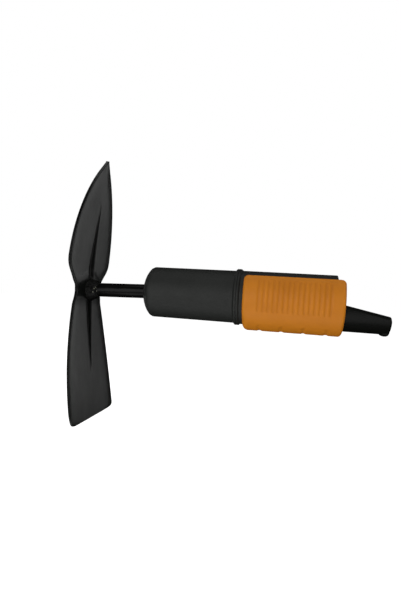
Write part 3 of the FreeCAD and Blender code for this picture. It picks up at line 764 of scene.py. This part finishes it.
def make_tongue(material):
    """Half-round tongue with a rimmed lap face, a softened end and the stop bead."""
    end, soft = TONGUE_REACH, 1.5
    stations = spread(ROOT_X, 0, 4)[1:-1] + spread(0, end - 6, 0.8)
    stations += spread(end - 6, end - soft, 0.3)[1:]
    loops = [tongue_loop(ROOT_X, 0.5)] + [tongue_loop(x, 0.0) for x in stations]
    for turn in (12, 24, 36, 48, 60, 72, 84, 90):
        angle = math.radians(turn)
        inset = soft * (1 - math.cos(angle))
        loops.append(tongue_loop(end - soft + soft * math.sin(angle), inset))
    loops.append(tongue_loop(end, soft + 1.0))
    points, faces = joined_loops(loops)
    return mesh_piece("tongue_moulding", points, faces, material, "head", ["tongue"])


def lap_z(x):
    """Height of the lap face at x."""
    return SPLIT_Z - max(0.0, x) * math.tan(LAP_SLOPE)


def tongue_loop(x, inset):
    """One section of the tongue: round below, a chamfered lip and a sunk lap face above."""
    height = lap_z(x) - inset
    radius = CORE_RADIUS - inset
    reach = math.asin((height - LIP) / radius)
    count = 120
    arc = []
    for i in range(count + 1):
        a = math.pi - reach + (math.pi + 2 * reach) * i / count
        grown = radius + stop_bead(x, a)
        arc.append((grown * math.cos(a), grown * math.sin(a)))
    side = arc[-1][0]
    dip = LAP_SINK * smooth((x - 2) / 1.5) * smooth((TONGUE_REACH - 3 - x) / 1.5)
    flat = [(side - 0.25, height - 0.75 * LIP), (side - 0.75, height - 0.12),
            (side - 1.2, height), (side - RIM_WIDTH, height),
            (side - RIM_WIDTH - 0.4, height - dip)]
    inner = side - RIM_WIDTH - 0.7
    middle = [(inner - 2 * inner * i / 16, height - dip) for i in range(17)]
    section = arc + flat + middle + [(-y, z) for y, z in reversed(flat)]
    lean = smooth(x / TONGUE_REACH) * math.tan(END_SLOPE)
    return [(x + lean * (lap_z(x) - z), y, z) for y, z in section]


def stop_bead(x, angle):
    """Height of the stop bead that stands under the tongue's tip."""
    place = BEAD_PLACE - (CORE_RADIUS + lap_z(x)) * math.tan(END_SLOPE)
    along = abs(x - place) / BEAD_HALF
    aside = abs(angle - 1.5 * math.pi) / BEAD_ARC
    if aside >= 1:
        return 0.0
    if x > place:
        along = (x - place) / 2.9
    ahead = math.sqrt(max(0.0, 1 - along ** 2))
    return 0.98 * BEAD_HEIGHT * ahead * smooth((1 - aside) * 3)


# ---------------------------------------------------------------- sleeve

def grip_height(x, z):
    """Height of the outer face above the plain round: grip ribs at the sides, notches below."""
    along = (x - SLEEVE_LOW.x - GRIP_START) / GRIP_PITCH
    height = 0.0
    if -0.5 < along < GRIP_COUNT - 0.5:
        fade = smooth((GRIP_TOP - z) / 1.4) * smooth((z - GRIP_BOTTOM) / 1.4)
        wave = 0.5 + 0.5 * math.cos(2 * math.pi * along)
        height -= GRIP_DEPTH * fade * wave ** 1.3
    under = (x - SLEEVE_LOW.x - UNDER_START) / UNDER_PITCH
    near = round(under)
    if 0 <= near < UNDER_COUNT:
        notch = max(0.0, 1 - ((under - near) * UNDER_PITCH / 1.7) ** 2)
        height -= 0.5 * notch * smooth((-17.0 - z) / 2.5)
    return height


def sleeve_end(x):
    """Distance from x to the nearer end of the sleeve."""
    return min(x - SLEEVE_LOW.x, SLEEVE_HIGH.x - x)


def rounding(gap, radius):
    """How far a corner of the radius is drawn in at a distance from the end."""
    return radius - math.sqrt(max(0.0, radius ** 2 - max(0.0, radius - gap) ** 2))


def sleeve_loop(x, steps=168):
    """Closed C-shaped section at x: outside, rounded edge, inside, rounded edge."""
    gap = sleeve_end(x)
    drop = rounding(gap, SLEEVE_CORNER)
    pull = rounding(gap, SLEEVE_END_ROUND)
    edge = SLEEVE_EDGE - drop
    chin = CHIN_DEPTH * max(0.0, 1 - (x - SLEEVE_LOW.x) / CHIN_LENGTH) ** 1.3
    outer_radius = SLEEVE_RADIUS - pull
    inner_radius = SLEEVE_BORE + 0.25 * pull
    soft = min(1.0, 0.4 * (outer_radius - inner_radius))
    top_out = math.asin((edge - soft) / outer_radius)
    top_in = math.asin((edge - soft) / inner_radius)
    outer, inner = [], []
    for i in range(steps + 1):
        share = i / steps
        a = math.pi - top_out + (math.pi + 2 * top_out) * share
        z = outer_radius * math.sin(a)
        radius = outer_radius + grip_height(x, z) * smooth(gap / 3)
        radius = max(radius - chin * smooth((-9 - z) / 8), inner_radius + 0.4)
        outer.append((x, radius * math.cos(a), radius * math.sin(a)))
        a = math.pi - top_in + (math.pi + 2 * top_in) * share
        inner.append((x, inner_radius * math.cos(a), inner_radius * math.sin(a)))
    right = edge_round(outer[-1], inner[-1], soft, edge)
    left = [(px, -py, pz) for px, py, pz in reversed(right)]
    return outer + right + inner[::-1] + left


def edge_round(outside, inside, soft, edge):
    """Points over the sleeve's top edge, from the outer face to the inner one."""
    x, y_out, low = outside
    y_in = inside[1]
    out = []
    for share in (0.25, 0.5, 0.75, 1.0):
        a = math.pi / 2 * share
        out.append((x, y_out - soft * (1 - math.cos(a)) * 1.1, low + soft * math.sin(a)))
    for share in (1.0, 0.75, 0.5, 0.25):
        a = math.pi / 2 * share
        out.append((x, y_in + soft * (1 - math.cos(a)) * 1.1, low + soft * math.sin(a)))
    return out


def make_sleeve(material):
    """Locking sleeve as one run of C-shaped sections with ring-shaped ends."""
    start, end = SLEEVE_LOW.x, SLEEVE_HIGH.x
    near = [0.0, 0.03, 0.12, 0.28, 0.5, 0.8, 1.15, 1.5, 1.9, 2.4, 3.0]
    stations = [start + g for g in near] + spread(start + 3.0, end - 3.0, 0.36)[1:-1]
    stations += [end - g for g in reversed(near)]
    loops = [sleeve_loop(x) for x in stations]
    points, faces = joined_loops(loops, False, False)
    count = len(loops[0])
    half = count // 2
    last = (len(loops) - 1) * count
    for i in range(half - 1):
        a, b = i, i + 1
        c, d = count - 2 - i, count - 1 - i
        faces.append((a, b, c, d))
        faces.append((last + a, last + d, last + c, last + b))
    return mesh_piece("locking_sleeve_grip", points, faces, material, "sleeve",
                      ["locking_sleeve"])


# ---------------------------------------------------------------- build

# Painted glints on the weld, as light grey spots: x, y, z and radius
WELD_GLINTS = [(BLADE_X + 9.1, -5.1, NECK_Z + 1.4, 0.9), (BLADE_X + 9.0, -5.1, NECK_Z - 0.7, 0.9),
              (BLADE_X + 6.5, -6.2, NECK_Z - 1.7, 0.7), (BLADE_X + 8.6, -5.0, NECK_Z + 3.1, 0.7),
              (BLADE_X + 7.8, -5.6, NECK_Z + 2.1, 0.7), (BLADE_X + 7.1, -6.0, NECK_Z + 0.9, 0.7)]

coat = blade_coat()
welded = weld_coat()
housing = housing_plastic()
make_blade(coat)
make_shank(shank_coat())
make_root_weld(welded)
make_tenon_weld(welded)
make_barrel(housing)
make_core(housing)
make_tongue(tongue_plastic())
make_sleeve(sleeve_plastic())

hardware = bare_steel("bare_steel", (0.5, 0.5, 0.51), (0.62, 0.62, 0.62), 300)
spring = bare_steel("spring_steel", (0.2, 0.22, 0.27), (0.34, 0.36, 0.4), 200)
for name, finish in (("shank_pin", hardware), ("tongue_screws", hardware),
                     ("spring_screw", hardware), ("detent_spring", spring)):
    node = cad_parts[name]
    node.data.materials.clear()
    node.data.materials.append(finish)


# ---------------------------------------------------------------- stage

def make_floor():
    """Plain pale floor under the lowest point of the blade."""
    size = 6.0
    z = cad_low.z - 0.0006
    mesh = bpy.data.meshes.new("floor")
    mesh.from_pydata([(-size, -size, z), (size, -size, z), (size, size, z), (-size, size, z)],
                     [], [(0, 1, 2, 3)])
    floor = bpy.data.objects.new("floor", mesh)
    bpy.context.scene.collection.objects.link(floor)
    material = bpy.data.materials.new("floor_white")
    material.use_nodes = True
    shader = material.node_tree.nodes["Principled BSDF"].inputs
    shader["Base Color"].default_value = (0.9, 0.9, 0.9, 1)
    shader["Roughness"].default_value = 1.0
    shader["Specular IOR Level"].default_value = 0.0
    shader["Emission Color"].default_value = (1, 1, 1, 1)
    shader["Emission Strength"].default_value = 1.05
    mesh.materials.append(material)
    floor.visible_diffuse = False
    floor.visible_glossy = False
    floor.visible_shadow = False


def softbox(name, place, target, width, height, power):
    """A rectangular area light aimed at a point."""
    data = bpy.data.lights.new(name, "AREA")
    data.shape = "RECTANGLE"
    data.size, data.size_y = width, height
    data.energy = power
    light = bpy.data.objects.new(name, data)
    light.location = place
    light.rotation_euler = (Vector(target) - Vector(place)).to_track_quat("-Z", "Y").to_euler()
    light.visible_camera = False
    bpy.context.scene.collection.objects.link(light)


def make_lights():
    """White surroundings that the camera sees, and softboxes that light the head."""
    scene = bpy.context.scene
    world = bpy.data.worlds.new("studio")
    world.use_nodes = True
    world.node_tree.nodes["Background"].inputs["Color"].default_value = (1, 1, 1, 1)
    world.node_tree.nodes["Background"].inputs["Strength"].default_value = 1.0
    world.cycles_visibility.diffuse = False
    world.cycles_visibility.glossy = False
    scene.world = world
    centre = (-0.07, 0.0, 0.0)
    softbox("front_box", (-0.38, -0.95, 0.06), centre, 0.9, 0.8, 6.5)
    softbox("back_box", (0.4245, 0.89, 0.22), (-0.17, 0.0, 0.0), 0.25, 0.85, 0.6)
    softbox("far_box", (-0.95, 0.45, 0.10), centre, 0.6, 0.8, 3.0)
    softbox("end_box", (0.95, -0.15, 0.35), centre, 0.5, 0.8, 3.0)
    softbox("top_box", (-0.1, -0.15, 0.9), centre, 0.9, 0.6, 2.2)
    softbox("under_box", (-0.1, -0.5, -0.75), centre, 0.9, 0.6, 4.2)
    scene.view_settings.view_transform = "Standard"


CAMERA_PLACE = (-0.03381, -0.2965, -0.00452)
CAMERA_TURN = (-10.908, 0.079, 3.731)      # yaw, pitch and roll from a level look along +Y
CAMERA_LENS = 25.76


def make_camera():
    """Camera close to the head, almost level with the barrel."""
    data = bpy.data.cameras.new("camera")
    data.lens = CAMERA_LENS
    data.sensor_width = 36.0
    camera = bpy.data.objects.new("camera", data)
    yaw, pitch, roll = (math.radians(angle) for angle in CAMERA_TURN)
    ahead = Vector((math.sin(yaw) * math.cos(pitch), math.cos(yaw) * math.cos(pitch),
                    math.sin(pitch)))
    level = Vector((math.cos(yaw), -math.sin(yaw), 0.0))
    rise = level.cross(ahead)
    right = level * math.cos(roll) + rise * math.sin(roll)
    up = rise * math.cos(roll) - level * math.sin(roll)
    turn = Matrix((right, up, right.cross(up))).transposed().to_4x4()
    camera.matrix_world = Matrix.Translation(CAMERA_PLACE) @ turn
    bpy.context.scene.collection.objects.link(camera)
    bpy.context.scene.camera = camera


make_floor()
make_lights()
make_camera()
